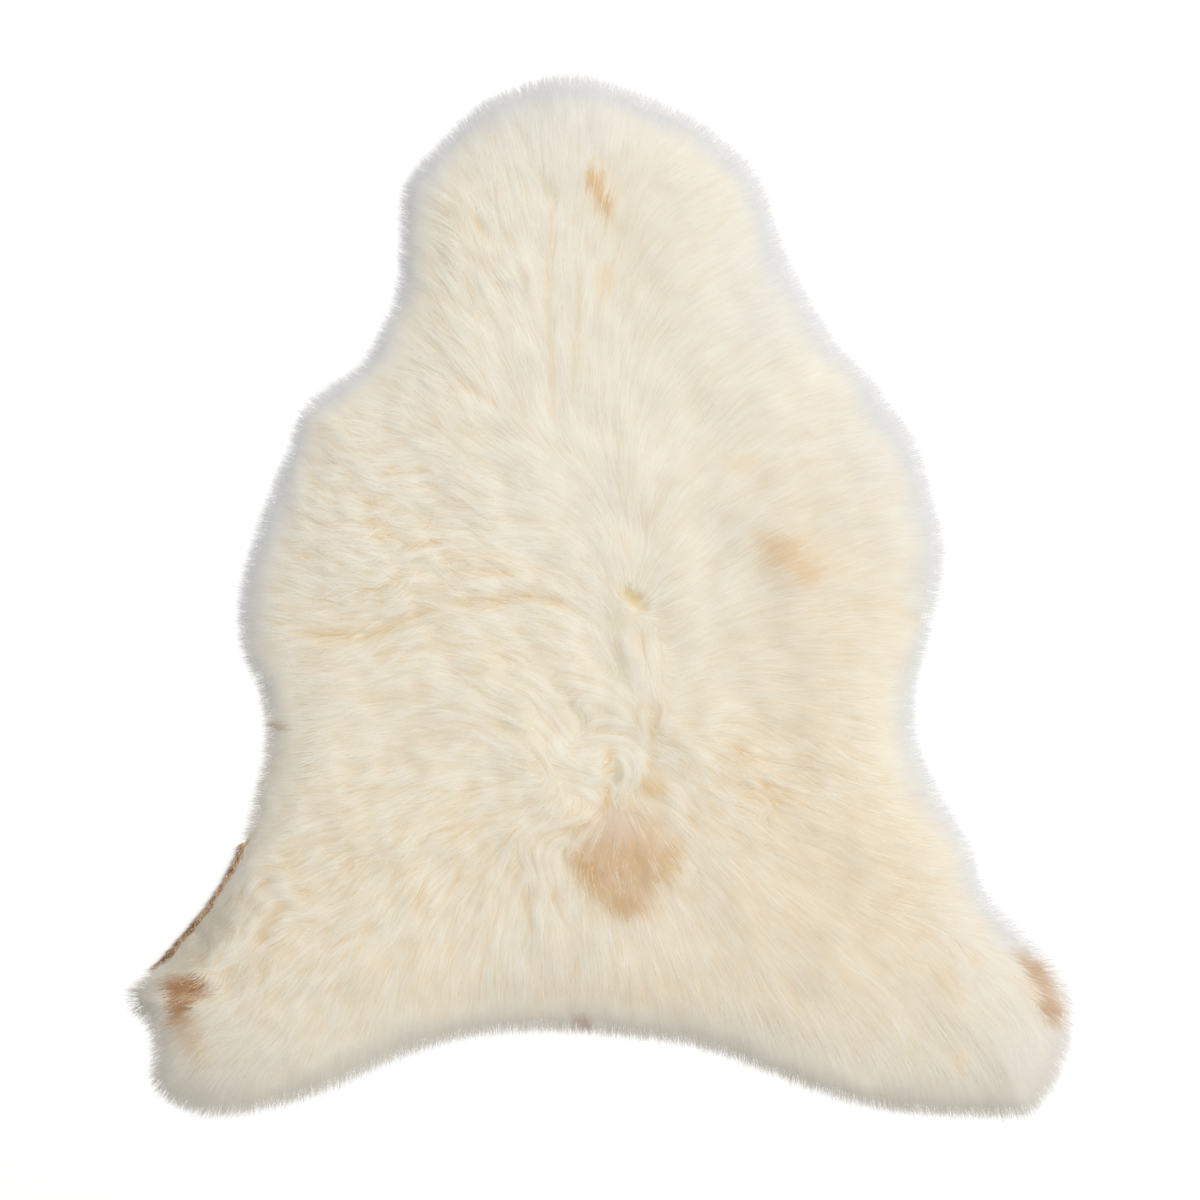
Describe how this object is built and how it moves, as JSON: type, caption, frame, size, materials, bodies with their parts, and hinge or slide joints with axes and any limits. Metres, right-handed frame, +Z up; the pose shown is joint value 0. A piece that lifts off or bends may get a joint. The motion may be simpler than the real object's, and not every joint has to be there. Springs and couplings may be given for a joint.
{
  "type": "sheepskin rug",
  "caption": "Whole cream sheepskin rug, wool side up, with the pelt's rounded neck, wide shoulders and splayed hind legs, lying flat on the floor.",
  "frame": {"origin": "on the floor, under the middle of the rug", "axes": "+Y towards the neck, +X to the right seen from above with the neck away, +Z up out of the floor"},
  "size_m": [0.9388, 1.0364, 0.0438],
  "materials": {
    "wool": "long soft undyed wool, cream with a few tan patches, matt with a faint sheen"
  },
  "bodies": {
    "root": {"sheepskin": "wool"}
  },
  "joints": []
}
